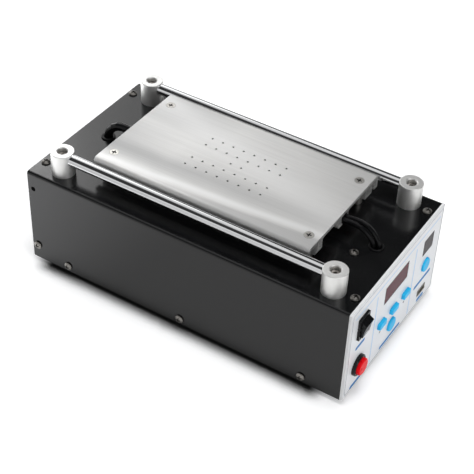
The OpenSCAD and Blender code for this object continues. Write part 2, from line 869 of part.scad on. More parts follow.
// Turned posts, each with a blind side hole that takes a rod's end
module rod_post(side) {
    difference() {
        union() {
            cylinder(d = post_d, h = post_h - post_chamfer);
            translate([0, 0, post_h - post_chamfer])
                cylinder(d1 = post_d, d2 = post_d - 2 * post_chamfer, h = post_chamfer);
        }
        bore_z(screw_d / 2 + screw_gap, post_h);
        translate([0, 0, post_seat]) cylinder(d = post_bore_d, h = post_h);
        translate([0, 0, post_h - post_mouth])
            cylinder(d1 = post_bore_d, d2 = post_bore_d + 2 * (post_mouth + over),
                     h = post_mouth + over);
        translate([side * (post_d / 2 - rod_entry), 0, rod_z]) rotate([0, side * 90, 0])
            cylinder(d = rod_d + 2 * rod_fit, h = post_d);
    }
}

module rod_posts() {
    color("#dcdcda") placed() translate([0, 0, case_h])
        for (sx = [-1, 1], sy = [-1, 1]) translate([sx * post_x, sy * post_y, 0]) rod_post(-sx);
}

module post_screws() {
    color("#9c9894") placed() translate([0, 0, case_h + post_seat])
        at_corners(post_x, post_y) difference() {
            union() {
                cylinder(d = post_head_d, h = post_head_h);
                translate([0, 0, -(post_seat + sheet_t + nut_h)])
                    cylinder(d = screw_d, h = post_seat + sheet_t + nut_h);
            }
            translate([0, 0, post_head_h - post_hex_depth])
                cylinder(d = post_hex / cos(30), h = post_hex_depth + over, $fn = 6);
        }
}

module post_nuts() {
    color(steel) placed() translate([0, 0, case_h - sheet_t - nut_h])
        at_corners(post_x, post_y) nut(screw_d, nut_af, nut_h);
}

module guide_rod(side) {
    end_x = post_x - post_d / 2 + rod_entry;
    color("#e8eaec") placed() translate([-end_x, side * post_y, case_h + rod_z])
        rotate([0, 90, 0]) cylinder(d = rod_d, h = 2 * end_x);
}

module guide_rod_near() {
    guide_rod(-1);
}

module guide_rod_far() {
    guide_rod(1);
}

// A round cord swept along its route: each ring's first direction is carried on from the last
function unit(v) = v / norm(v);
function tangent(p, i) = unit(p[min(i + 1, len(p) - 1)] - p[max(i - 1, 0)]);
function carried(n, t) = unit(n - (n * t) * t);
function normals(p, i, n) =
    i == len(p) ? [] :
    let (m = carried(n, tangent(p, i))) concat([m], normals(p, i + 1, m));
function ring_points(p, r, sides) =
    let (ns = normals(p, 0, [0, 1, 0.3]))
    [for (i = [0 : len(p) - 1])
        let (a = ns[i], b = cross(tangent(p, i), a))
        for (k = [0 : sides - 1])
            p[i] + r * (cos(360 * k / sides) * a + sin(360 * k / sides) * b)];
function ring_faces(rings, sides) =
    concat(
        [[for (k = [sides - 1 : -1 : 0]) k]],
        [[for (k = [0 : sides - 1]) (rings - 1) * sides + k]],
        [for (i = [0 : rings - 2], k = [0 : sides - 1], half = [0, 1])
            let (a = i * sides + k, b = i * sides + (k + 1) % sides)
            half == 0 ? [a, b, b + sides] : [a, b + sides, a + sides]]
    );

module cord(route, d, sides) {
    polyhedron(points = ring_points(route, d / 2, sides),
               faces = [for (f = ring_faces(len(route), sides)) [for (k = [len(f) - 1 : -1 : 0]) f[k]]]);
}

module heater_lead() {
    color(rubber_black) placed() cord(heater_lead_route, lead_d, 10);
}

module sensor_lead() {
    color(rubber_black) placed() cord(sensor_lead_route, lead_d, 10);
}

module vacuum_hose() {
    color(rubber_black) placed() cord(hose_route, hose_d, 12);
}

// A rubber ring whose groove holds the sheet's edge
module grommet(hole_d) {
    lip_r = grommet_lip / 2;
    translate([0, 0, case_h]) rotate_extrude() {
        translate([hole_d / 2, 0]) square([grommet_d / 2 - lip_r - hole_d / 2, grommet_lip]);
        translate([grommet_d / 2 - lip_r, lip_r]) circle(r = lip_r);
        translate([hole_d / 2, -sheet_t - grommet_under])
            square([grommet_neck / 2 - hole_d / 2, sheet_t + grommet_under + lip_r]);
        translate([hole_d / 2, -sheet_t - grommet_under])
            square([grommet_d / 2 - hole_d / 2, grommet_under]);
    }
}

module lead_grommet() {
    color(rubber_black) placed() translate([lead_grommet_x, lead_grommet_y, 0])
        grommet(lead_hole_d);
}

module hose_grommet() {
    color(rubber_black) placed() translate([hose_grommet_x, hose_grommet_y, 0])
        grommet(hose_hole_d);
}

module window_pane(w, h) {
    along_x(panel_t + label_t) round_rect(w, h, window_r);
}

module display_window() {
    color("#5a2a38") placed() translate([panel_back_x, display_y, display_z])
        window_pane(display_w, display_h);
}

module meter_window() {
    color("#4a4748") placed() translate([panel_back_x, meter_y, display_z])
        window_pane(meter_w, meter_h);
}

module display_module() {
    color("#1c1c1f") placed()
        translate([board_front_x, display_y - display_box.y / 2, display_z - display_box.z / 2])
            cube(display_box);
}

module meter_module() {
    color("#1c1c1f") placed()
        translate([board_front_x, meter_y - meter_box.y / 2, display_z - meter_box.z / 2])
            cube(meter_box);
}

module rocker_housing() {
    body_w = rocker_cavity_w + 2 * rocker_wall;
    body_h = rocker_cavity_h + 2 * rocker_wall;
    color("#151517") placed() translate([front_x, switch_y, rocker_z]) {
        difference() {
            union() {
                along_x(rocker_bezel.x) round_rect(rocker_bezel.y, rocker_bezel.z, rocker_wall);
                translate([-rocker_depth, -body_w / 2, -body_h / 2])
                    cube([rocker_depth + rocker_bezel.x / 2, body_w, body_h]);
            }
            translate([-rocker_depth + rocker_floor, -rocker_cavity_w / 2, -rocker_cavity_h / 2])
                cube([rocker_depth + rocker_bezel.x + over, rocker_cavity_w, rocker_cavity_h]);
            translate([-rocker_in, -body_w / 2, 0]) bore_y(trunnion_r + trunnion_gap, body_w);
        }
        for (s = [-1, 1])
            translate([-rocker_depth - blade.x, -blade.y / 2, s * blade_gap / 2 - blade.z / 2])
                cube(blade);
    }
}

// The rocker's ends are arcs about its trunnions and its face is a shallow valley
module rocker() {
    tip_x = rocker_tip_x;
    pin_l = rocker_cavity_w + 2 * rocker_wall - 2 * trunnion_short;
    color("#1b1b1d") placed() translate([front_x - rocker_in, switch_y, rocker_z])
        rotate([0, rocker_tilt, 0]) {
            along_y(rocker_w) intersection() {
                circle(r = rocker_r);
                polygon([[-rocker_back, -rocker_r], [-rocker_back, rocker_r],
                         [0, rocker_r], [tip_x, rocker_tip_z], [rocker_valley, 0],
                         [tip_x, -rocker_tip_z], [0, -rocker_r]]);
            }
            rotate([90, 0, 0]) cylinder(r = trunnion_r, h = pin_l, center = true);
        }
}

module red_switch_body() {
    color("#141416") placed() translate([front_x, switch_y, red_z]) {
        difference() {
            union() {
                rotate([0, 90, 0]) {
                    cylinder(d = red_bezel_d, h = red_bezel_t - red_cap_edge);
                    translate([0, 0, red_bezel_t - red_cap_edge])
                        cylinder(d1 = red_bezel_d, d2 = red_bezel_d - 2 * red_cap_edge,
                                 h = red_cap_edge);
                }
                translate([-red_barrel_l, 0, 0]) rotate([0, 90, 0])
                    cylinder(d = red_barrel_d, h = red_barrel_l + red_bezel_t / 2);
            }
            translate([-red_recess, 0, 0])
                rotate([0, 90, 0]) cylinder(d = red_cap_d + 2 * key_gap, h = 2 * red_barrel_l);
            translate([-red_recess - red_web, 0, 0])
                bore_x(red_stem_d / 2 + key_gap, red_web);
            translate([-red_barrel_l + red_web, 0, 0]) rotate([0, 90, 0])
                cylinder(d = red_chamber_d, h = red_barrel_l - 2 * red_web - red_recess);
        }
        for (s = [-1, 1])
            translate([-red_barrel_l - blade.x, -blade.y / 2, s * blade_gap / 2 - blade.z / 2])
                cube(blade);
    }
}

module red_switch_nut() {
    color(steel) placed() translate([wall_in_x - red_nut_h, switch_y, red_z])
        rotate([0, 90, 0]) difference() {
            cylinder(d = red_nut_af / cos(30), h = red_nut_h, $fn = 6);
            bore_z(red_barrel_d / 2 + thread_gap, red_nut_h);
        }
}

module red_button() {
    cap_back = red_cap_out - red_cap_h;
    collar_front = -red_recess - red_web - key_rest;
    color("#e0141e") placed() translate([front_x, switch_y, red_z]) rotate([0, 90, 0]) {
        translate([0, 0, cap_back]) cylinder(d = red_cap_d, h = red_cap_h - red_cap_edge);
        translate([0, 0, red_cap_out - red_cap_edge])
            cylinder(d1 = red_cap_d, d2 = red_cap_d - 2 * red_cap_edge, h = red_cap_edge);
        translate([0, 0, -red_stem_end]) cylinder(d = red_stem_d, h = red_stem_end + cap_back);
        translate([0, 0, collar_front - red_collar_h]) cylinder(d = red_collar_d, h = red_collar_h);
    }
}

// What carries a key behind the panel: a lip that stops it and a stem down to its switch
module key_root_x() {
    lip_front = wall_in_x - key_rest - front_x;
    stem_end = board_front_x + switch_h - stem_in_well - front_x;
    translate([lip_front - key_lip, 0, 0]) children();
    translate([stem_end, 0, 0]) rotate([0, 90, 0])
        cylinder(d = key_stem_d, h = lip_front - stem_end);
}

module bar_key(i) {
    shank_l = front_x - wall_in_x + key_rest;
    color(sky_blue) placed()
        translate([front_x, display_y + i * key_pitch, key_z]) {
            hull() {
                translate([-shank_l, 0, 0]) along_x(shank_l + key_out - key_bevel)
                    round_rect(key_w, key_h, key_corner, $fn = 32);
                along_x(key_out)
                    round_rect(key_w - 2 * key_bevel, key_h - 2 * key_bevel,
                               key_corner - key_bevel, $fn = 32);
            }
            key_root_x() along_x(key_lip)
                round_rect(key_w + 2 * key_lip, key_h + 2 * key_lip, key_corner);
        }
}

module key_1() {
    bar_key(-1);
}

module key_2() {
    bar_key(0);
}

module key_3() {
    bar_key(1);
}

module round_key(y, z) {
    shank_l = front_x - wall_in_x + key_rest;
    color(sky_blue) placed() translate([front_x, y, z]) {
        rotate([0, 90, 0]) {
            translate([0, 0, -shank_l])
                cylinder(d = round_d, h = shank_l + round_out - key_bevel);
            translate([0, 0, round_out - key_bevel])
                cylinder(d1 = round_d, d2 = round_d - 2 * key_bevel, h = key_bevel);
        }
        key_root_x() rotate([0, 90, 0]) cylinder(d = round_d + 2 * key_lip, h = key_lip);
    }
}

module round_key_low() {
    round_key(display_y, round_low_z);
}

module round_key_high() {
    round_key(meter_y, round_high_z);
}

module key_switch(y, z) {
    translate([board_front_x, y, z]) difference() {
        translate([0, -switch_size / 2, -switch_size / 2])
            cube([switch_h, switch_size, switch_size]);
        translate([switch_h - switch_well, 0, 0]) rotate([0, 90, 0])
            cylinder(d = switch_well_d, h = switch_well + over);
    }
}

module key_switches() {
    color("#26262a") placed() {
        for (i = [-1, 0, 1]) key_switch(display_y + i * key_pitch, key_z);
        key_switch(display_y, round_low_z);
        key_switch(meter_y, round_high_z);
    }
}

module usb_shell() {
    color(steel) placed() translate([front_x + usb_out - usb_len, meter_y, usb_z])
        difference() {
            along_x(usb_len) round_rect(usb_w, usb_h, usb_wall);
            translate([-over, 0, 0]) along_x(usb_len + 2 * over)
                square([usb_w - 2 * usb_wall, usb_h - 2 * usb_wall], center = true);
        }
}

module usb_tongue() {
    color("#e9e4d8") placed() translate([front_x + usb_out - usb_len, meter_y, usb_z]) {
        along_x(usb_back)
            square([usb_w - 2 * usb_wall, usb_h - 2 * usb_wall], center = true);
        translate([0, 0, usb_tongue_t / 2]) along_x(usb_back + usb_tongue_len)
            square([usb_tongue_w, usb_tongue_t], center = true);
    }
}

module control_board() {
    color(board_green) placed() difference() {
        translate([board_back_x, board_y0, board_z0])
            cube([board_t, board_y1 - board_y0, board_z1 - board_z0]);
        translate([board_back_x, 0, 0]) board_holes() bore_x(small_d / 2 + screw_gap, board_t);
        translate([board_back_x - over, meter_y, usb_z]) along_x(board_t + 2 * over)
            square([usb_w + 2 * body_gap, usb_h + 2 * body_gap], center = true);
    }
}

// Hexagonal pillars, each with a thread stub in the wall and a screw through the board
module board_pillars() {
    color(steel) placed() translate([board_front_x, 0, 0]) board_holes() {
        rotate([0, 90, 0]) cylinder(d = pillar_af / cos(30), h = board_gap, $fn = 6);
        translate([board_gap, 0, 0]) rotate([0, 90, 0]) cylinder(d = small_d, h = sheet_t);
        translate([-board_t, 0, 0]) rotate([0, -90, 0])
            pan_screw(small_d, board_t, foot_head_d, foot_head_h);
    }
}

module inlet_body() {
    color("#18181a") placed() translate([rear_x, inlet_y, inlet_z]) difference() {
        union() {
            translate([-inlet_flange.x, 0, 0]) along_x(inlet_flange.x)
                round_rect(inlet_flange.y, inlet_flange.z, inlet_flange.x);
            along_x(inlet_depth) square(inlet_neck, center = true);
        }
        translate([-inlet_flange.x - over, 0, inlet_cup_z])
            along_x(inlet_cup_depth + over) cup_outline();
        translate([-inlet_flange.x - over, 0, drawer_z]) along_x(drawer.x + over)
            square([drawer.y + 2 * drawer_gap, drawer.z + 2 * drawer_gap], center = true);
        for (s = [-1, 1]) translate([-inlet_flange.x, 0, s * inlet_screw_z]) {
            bore_x(small_d / 2 + screw_gap, inlet_flange.x);
            rotate([0, 90, 0])
                cylinder(d1 = csk_d + 2 * screw_gap, d2 = small_d + 2 * screw_gap, h = csk_h);
        }
        for (p = inlet_pin_places) translate([0, p.x, inlet_cup_z + p.y])
            along_x(inlet_depth + over) square([pin_size.y, pin_size.x], center = true);
    }
}

// The three-pin cup has its two upper corners cut off
module cup_outline() {
    w = inlet_cup.x;
    h = inlet_cup.y;
    polygon([[-w / 2, -h / 2], [w / 2, -h / 2], [w / 2, h / 2 - inlet_corner],
             [w / 2 - inlet_corner, h / 2], [-w / 2 + inlet_corner, h / 2],
             [-w / 2, h / 2 - inlet_corner]]);
}

inlet_pin_places = [[-pin_spread, pin_drop], [pin_spread, pin_drop], [0, pin_rise]];

module inlet_pins() {
    color("#c9a94b") placed() translate([rear_x, inlet_y, inlet_z])
        for (p = inlet_pin_places)
            translate([-inlet_flange.x + inlet_cup_depth - pin_len, p.x, inlet_cup_z + p.y])
                along_x(pin_len + inlet_flange.x + inlet_depth - inlet_cup_depth + tail_len)
                    square([pin_size.y, pin_size.x], center = true);
}

module fuse_drawer() {
    color("#222225") placed() translate([rear_x - inlet_flange.x, inlet_y, inlet_z + drawer_z])
        difference() {
            along_x(drawer.x - drawer_gap) square([drawer.y, drawer.z], center = true);
            translate([-over, -drawer.y * grip_share / 2, -drawer.z / 2 - over])
                cube([drawer_grip + over, drawer.y * grip_share, drawer_grip + over]);
        }
}

grip_share = 0.4;

module inlet_screws() {
    color(steel) placed() translate([rear_x - inlet_flange.x, inlet_y, inlet_z])
        for (s = [-1, 1]) translate([0, 0, s * inlet_screw_z]) rotate([0, -90, 0])
            sunk_screw(small_d, screw_len, csk_d, csk_h);
}

module pump_head() {
    color("#2b2b2e") placed() translate([pump_x, pump_y, pump_z]) {
        translate([-pump_head_l, 0, 0]) rotate([0, 90, 0]) {
            cylinder(d = pump_head_d, h = pump_head_l - pump_shoulder);
            translate([0, 0, pump_head_l - pump_shoulder])
                cylinder(d = pump_motor_d, h = pump_shoulder);
        }
        translate([-pump_head_l + pump_inlet_in, 0, 0])
            cylinder(d = pump_nozzle_d, h = pump_head_d / 2 + pump_inlet_l);
        translate([-pump_head_l - pump_nozzle_l, 0, 0]) rotate([0, 90, 0])
            cylinder(d = pump_nozzle_d, h = pump_nozzle_l);
    }
}

module pump_motor() {
    color("#b9bcc0") placed() translate([pump_x, pump_y, pump_z]) rotate([0, 90, 0]) {
        cylinder(d = pump_motor_d, h = pump_motor_l);
        translate([0, 0, pump_motor_l]) cylinder(d = pump_boss_d, h = pump_boss_l);
    }
}

// A folded saddle under the motor, with a strap over it
module pump_cradle() {
    ring_r = pump_motor_d / 2 + cradle_gap;
    color("#8d9196") placed()
        translate([pump_x + (pump_motor_l - cradle_l) / 2, pump_y, 0]) difference() {
            union() {
                translate([0, 0, pump_z]) rotate([0, 90, 0]) cylinder(r = ring_r + cradle_t, h = cradle_l);
                translate([0, -cradle_foot, sheet_t])
                    cube([cradle_l, 2 * cradle_foot, pump_z - sheet_t]);
                translate([0, -ring_r - cradle_foot, sheet_t])
                    cube([cradle_l, 2 * (ring_r + cradle_foot), cradle_t]);
            }
            translate([0, 0, pump_z]) bore_x(ring_r, cradle_l);
            translate([-over, -cradle_foot + cradle_t, sheet_t + cradle_t])
                cube([cradle_l + 2 * over, 2 * (cradle_foot - cradle_t), pump_z - ring_r]);
        }
}

power_top = sheet_t + power_stand + board_t;

module power_board() {
    color(board_green) placed() translate([power_x, power_y, sheet_t + power_stand])
        difference() {
            block([power_l, power_w, board_t]);
            at_corners(power_l / 2 - power_hole_in, power_w / 2 - power_hole_in)
                bore_z(small_d / 2 + screw_gap, board_t);
        }
}

module power_pillars() {
    color(steel) placed() translate([power_x, power_y, sheet_t])
        at_corners(power_l / 2 - power_hole_in, power_w / 2 - power_hole_in) {
            cylinder(d = pillar_af / cos(30), h = power_stand, $fn = 6);
            translate([0, 0, -sheet_t]) cylinder(d = small_d, h = sheet_t);
            translate([0, 0, power_stand + board_t])
                pan_screw(small_d, board_t, foot_head_d, foot_head_h);
        }
}

module transformer() {
    color("#6c6a66") placed()
        translate([power_x + transformer_x, power_y + transformer_y, power_top]) {
            block(core_size);
            translate([0, 0, (core_size.z - coil_size.z) / 2]) block(coil_size);
        }
}

module capacitors() {
    color("#2a3350") placed()
        for (i = [0, 1]) translate([power_x + cap_x + i * cap_pitch, power_y + cap_y, power_top])
            cylinder(d = cap_d, h = cap_h);
}

module terminal_block() {
    color("#2f8f5b") placed()
        translate([terminal_x, terminal_y - terminal_size.y / 2, power_top]) cube(terminal_size);
}

module earth_screw() {
    color(steel) placed() translate([earth_x, earth_y, case_h])
        pan_screw(screw_d, sheet_t + lug_t + nut_h + thread_end, screw_head_d, screw_head_h);
}

module earth_lug() {
    color("#c8b26a") placed() translate([earth_x, earth_y, case_h - sheet_t]) difference() {
        union() {
            translate([0, 0, -lug_t]) cylinder(d = lug_d, h = lug_t);
            translate([-lug_l, -lug_w / 2, -lug_t]) cube([lug_l, lug_w, lug_t]);
            translate([0, 0, -lug_t - nut_h])
                cylinder(d = nut_af / cos(30), h = nut_h, $fn = 6);
        }
        translate([0, 0, -lug_t - nut_h]) bore_z(screw_d / 2 + thread_gap, lug_t + nut_h);
    }
}

top_cover();
chassis();
front_plate();
panel_film();
rubber_feet();
foot_screws();
top_screws();
side_screws();
working_plate();
plate_screws();
plate_standoffs();
standoff_nuts();
heater_mat();
vacuum_chamber();
chamber_gasket();
chamber_screws();
temp_sensor();
rod_posts();
post_screws();
post_nuts();
guide_rod_near();
guide_rod_far();
heater_lead();
sensor_lead();
vacuum_hose();
lead_grommet();
hose_grommet();
display_window();
display_module();
meter_window();
meter_module();
rocker_housing();
rocker();
red_switch_body();
red_switch_nut();
red_button();
key_1();
key_2();
key_3();
round_key_low();
round_key_high();
key_switches();
usb_shell();
usb_tongue();
control_board();
board_pillars();
inlet_body();
inlet_pins();
fuse_drawer();
inlet_screws();
pump_motor();
pump_head();
pump_cradle();
power_board();
power_pillars();
transformer();
capacitors();
terminal_block();
earth_screw();
earth_lug();
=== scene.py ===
import json
import math

import bmesh
import bpy
from mathutils import Matrix, Vector


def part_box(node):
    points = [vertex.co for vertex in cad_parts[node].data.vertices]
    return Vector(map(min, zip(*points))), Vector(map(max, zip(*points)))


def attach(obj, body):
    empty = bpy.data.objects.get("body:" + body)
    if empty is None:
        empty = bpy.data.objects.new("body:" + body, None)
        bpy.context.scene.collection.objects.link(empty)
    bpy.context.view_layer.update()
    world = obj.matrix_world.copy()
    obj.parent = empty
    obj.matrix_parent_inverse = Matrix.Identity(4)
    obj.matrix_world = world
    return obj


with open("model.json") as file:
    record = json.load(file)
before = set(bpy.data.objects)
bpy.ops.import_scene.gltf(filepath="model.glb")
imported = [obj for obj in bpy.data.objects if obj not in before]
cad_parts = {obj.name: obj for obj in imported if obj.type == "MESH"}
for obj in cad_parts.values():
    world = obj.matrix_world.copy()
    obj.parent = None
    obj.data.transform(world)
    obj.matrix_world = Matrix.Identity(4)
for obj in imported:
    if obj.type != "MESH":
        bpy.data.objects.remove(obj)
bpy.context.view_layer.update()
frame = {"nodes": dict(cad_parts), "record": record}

# Lengths are in metres. They are in mm where a name ends in _mm or _MM, or MM multiplies them.
MM = 0.001
HOUSING = "housing"

# The case's middle, its front face and its underside in the shared frame
CASE_L = 0.300
MID_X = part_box("top_cover")[0].x + CASE_L / 2
FRONT_X = MID_X + CASE_L / 2
BASE_Z = 0.005
# From the case's middle to the axis of each post
POST_X = 0.125
POST_Y = 0.062

# Camera and lamps

# Where the camera stands and how it is turned, fitted to the edges in the photograph
CAMERA_PLACE = (0.408756, -0.685314, 0.726426)
CAMERA_RIGHT = Vector((0.8449, 0.5340, 0.0331))
CAMERA_DOWN = Vector((0.3690, -0.5367, -0.7588))
CAMERA_AHEAD = Vector((-0.3874, 0.6533, -0.6505))
FOCAL_LENGTH_MM = 96.01
SENSOR_WIDTH_MM = 36
NEAREST_SEEN = 0.02
FARTHEST_SEEN = 50

# A point near the object's middle, which two of the lamps are turned to
LAMP_TARGET = (0, 0, 0.06)


def make_camera():
    data = bpy.data.cameras.new("camera")
    data.sensor_width = SENSOR_WIDTH_MM
    data.lens = FOCAL_LENGTH_MM
    data.clip_start = NEAREST_SEEN
    data.clip_end = FARTHEST_SEEN
    camera = bpy.data.objects.new("camera", data)
    bpy.context.scene.collection.objects.link(camera)
    turn = Matrix((CAMERA_RIGHT, -CAMERA_DOWN, -CAMERA_AHEAD)).transposed()
    camera.matrix_world = Matrix.Translation(CAMERA_PLACE) @ turn.to_4x4()
    bpy.context.scene.camera = camera


def area_light(name, place, target, size, power, size_y=None):
    data = bpy.data.lights.new(name, "AREA")
    data.energy = power
    data.size = size
    if size_y:
        data.shape = "RECTANGLE"
        data.size_y = size_y
    lamp = bpy.data.objects.new(name, data)
    bpy.context.scene.collection.objects.link(lamp)
    lamp.location = place
    lamp.rotation_mode = "QUATERNION"
    lamp.rotation_quaternion = (Vector(target) - Vector(place)).to_track_quat("-Z", "Y")
    return lamp


def make_lamps():
    area_light("key", place=(-1.35, 0.80, 1.30), target=LAMP_TARGET, size=1.5, size_y=1.1, power=4.5)
    area_light("corner", place=(-1.228, 0.963, 1.242), target=(-0.14, -0.07, 0.095), size=0.3, power=1.5)
    top = area_light("top", place=(0.05, -0.1, 2.0), target=LAMP_TARGET, size=0.9, power=20)
    # Mirrored in the plate, this lamp would wash it out from above
    top.visible_glossy = False
    area_light("front", place=(1.7, -0.5, 0.9), target=(0.1, 0, 0.06), size=1.0, power=9)


# Shader nodes

class Nodes:
    """Short names for the nodes of a shader."""

    def __init__(self, tree):
        self.tree = tree
        self.coord = self.node("ShaderNodeTexCoord")

    def node(self, kind, **settings):
        node = self.tree.nodes.new(kind)
        for name, value in settings.items():
            setattr(node, name, value)
        return node

    def link(self, source, socket):
        self.tree.links.new(source, socket)

    def put(self, value, socket):
        """Sets a number on a socket, or links another node's output to it."""
        if isinstance(value, (int, float)):
            socket.default_value = value
        else:
            self.link(value, socket)

    def axes(self, space):
        """The X, Y and Z of the point that is shaded."""
        split = self.node("ShaderNodeSeparateXYZ")
        self.link(self.coord.outputs[space], split.inputs[0])
        return split.outputs

    def math(self, operation, a, b=None, clamp=False):
        node = self.node("ShaderNodeMath", operation=operation, use_clamp=clamp)
        self.put(a, node.inputs[0])
        if b is not None:
            self.put(b, node.inputs[1])
        return node.outputs[0]

    def add(self, a, b):
        return self.math("ADD", a, b)

    def subtract(self, a, b, clamp=False):
        return self.math("SUBTRACT", a, b, clamp)

    def multiply(self, a, b, clamp=False):
        return self.math("MULTIPLY", a, b, clamp)

    def inverse(self, value, clamp=False):
        return self.subtract(1.0, value, clamp)

    def span(self, value, low, high, to_low=0, to_high=1):
        """A straight ramp, level outside low and high."""
        node = self.node("ShaderNodeMapRange")
        node.inputs["From Min"].default_value = low
        node.inputs["From Max"].default_value = high
        node.inputs["To Min"].default_value = to_low
        node.inputs["To Max"].default_value = to_high
        self.link(value, node.inputs["Value"])
        return node.outputs[0]

    def step(self, value, low, high):
        """Nothing below low, all above high, a smooth rise between."""
        node = self.node("ShaderNodeMapRange", interpolation_type="SMOOTHSTEP")
        node.inputs["From Min"].default_value = low
        node.inputs["From Max"].default_value = high
        self.link(value, node.inputs["Value"])
        return node.outputs[0]

    def band(self, value, rise, fall):
        """All between the rise and the fall, nothing outside them."""
        return self.multiply(self.step(value, *rise), self.inverse(self.step(value, *fall)))

    def mix(self, share, a, b):
        node = self.node("ShaderNodeMix", data_type="FLOAT")
        self.put(share, node.inputs["Factor"])
        self.put(a, node.inputs["A"])
        self.put(b, node.inputs["B"])
        return node.outputs[0]


# World and floor

# The world's strength on dull faces, and that of the black flags that glossy faces mirror
FILL = 0.30
BACK_FLAG = 0.02
FRONT_FLAG = 0.05

FLOOR_HALF = 6
FLOOR_SQUARES = 8
PAPER_GREY = 0.97
SHADOW_GREY = 0.02
# How far the deep shadow reaches from the object, and the way that it leans
SHADOW_REACH = 0.017
SHADOW_LEAN = (0.42, 0.42, 0.80)
SHADOW_SAMPLES = 12
GLOW_COLOUR = (0.97, 0.98, 1, 1)
GLOW_TO_CAMERA = 0.3
GLOW_TO_MIRRORS = 1.1


def make_world():
    """Even white light for the dull faces. The glossy ones mirror a studio with black flags."""
    world = bpy.data.worlds.new("studio")
    bpy.context.scene.world = world
    world.use_nodes = True
    world.node_tree.nodes.clear()
    shader = Nodes(world.node_tree)
    out = shader.node("ShaderNodeOutputWorld")
    sky = shader.node("ShaderNodeBackground")
    path = shader.node("ShaderNodeLightPath")
    x, y, z = shader.axes("Generated")

    # Behind the object it is bright on the left, and on the right below and above a black flag
    turn = shader.math("ARCTAN2", y, x)
    left = shader.step(turn, low=math.radians(119), high=math.radians(127))
    flag = shader.band(z, rise=(0.18, 0.28), fall=(0.84, 0.93))
    behind = shader.mix(flag, 1.0, shader.mix(left, BACK_FLAG, 1.0))
    # Before it there is one wide black flag
    wide_flag = shader.band(z, rise=(0.36, 0.46), fall=(0.86, 0.93))
    before = shader.mix(wide_flag, 1.0, FRONT_FLAG)
    studio = shader.mix(shader.step(y, low=-0.12, high=0.12), before, behind)

    # Seen directly, or through something clear, it is plain white
    seen = shader.math("MAXIMUM", path.outputs["Is Camera Ray"], path.outputs["Is Transmission Ray"])
    level = shader.mix(path.outputs["Is Glossy Ray"], FILL, studio)
    shader.link(shader.mix(seen, level, 1.0), sky.inputs["Strength"])
    sky.inputs["Color"].default_value = (1, 1, 1, 1)
    shader.link(sky.outputs[0], out.inputs["Surface"])


def floor_paper():
    """White paper, with a deep shadow close to the object."""
    material = bpy.data.materials.new("floor_paper")
    material.use_nodes = True
    material.node_tree.nodes.clear()
    shader = Nodes(material.node_tree)
    out = shader.node("ShaderNodeOutputMaterial")
    paper = shader.node("ShaderNodeBsdfDiffuse")
    glow = shader.node("ShaderNodeEmission")
    glow.inputs["Color"].default_value = GLOW_COLOUR
    path = shader.node("ShaderNodeLightPath")
    x, y, _ = shader.axes("Object")

    # Glossy faces see the paper brighten towards the camera's left, and fade out before the object
    left = shader.inverse(shader.step(x, low=-0.26, high=-0.06))
    lit = shader.multiply(left, shader.step(y, low=-0.24, high=-0.175))

    # The deep shadow hugs the side that the light doesn't reach, and fades towards the case's ends
    lean = shader.node("ShaderNodeCombineXYZ")
    for socket, value in zip(lean.inputs, SHADOW_LEAN):
        socket.default_value = value
    near = shader.node("ShaderNodeAmbientOcclusion", samples=SHADOW_SAMPLES)
    near.inputs["Distance"].default_value = SHADOW_REACH
    shader.link(lean.outputs[0], near.inputs["Normal"])
    dark = shader.inverse(shader.step(near.outputs["AO"], low=0.45, high=0.88))
    from_rear_end = shader.step(x, low=-0.152, high=-0.134)
    past_front_end = shader.step(x, low=0.118, high=0.136)
    beside = shader.subtract(from_rear_end, past_front_end)
    clear = shader.inverse(shader.multiply(dark, beside))
    grey = shader.mix(clear, SHADOW_GREY, PAPER_GREY)
    shade = shader.node("ShaderNodeCombineColor")
    for socket in shade.inputs:
        shader.link(grey, socket)
    shader.link(shade.outputs[0], paper.inputs["Color"])

    shown = shader.multiply(path.outputs["Is Camera Ray"], shader.multiply(clear, GLOW_TO_CAMERA))
    mirrored = shader.multiply(path.outputs["Is Glossy Ray"], shader.multiply(lit, GLOW_TO_MIRRORS))
    shader.link(shader.add(shown, mirrored), glow.inputs["Strength"])
    both = shader.node("ShaderNodeAddShader")
    shader.link(paper.outputs[0], both.inputs[0])
    shader.link(glow.outputs[0], both.inputs[1])
    shader.link(both.outputs[0], out.inputs["Surface"])
    return material


def make_floor():
    mesh = bpy.data.meshes.new("floor")
    bm = bmesh.new()
    bmesh.ops.create_grid(bm, x_segments=FLOOR_SQUARES, y_segments=FLOOR_SQUARES, size=FLOOR_HALF)
    bm.to_mesh(mesh)
    bm.free()
    floor = bpy.data.objects.new("floor", mesh)
    bpy.context.scene.collection.objects.link(floor)
    floor.data.materials.append(floor_paper())


# Materials

COAT_ROUGH = 0.12
BEVEL_SAMPLES = 4
CAVITY_SAMPLES = 6
# Most of a noise's values lie between these
NOISE_LOW = 0.3
NOISE_HIGH = 0.7
# Holes within this distance of the plate's middle get a ring of painted shade: all suction holes, no
# screw's
HOLE_SHADE_X = 0.062
HOLE_SHADE_Y = 0.036


def opaque(colour):
    return tuple(colour) + (1,)


def scaled(colour, factor, lift=0.0):
    return tuple(min(1, c * factor + lift) for c in colour)


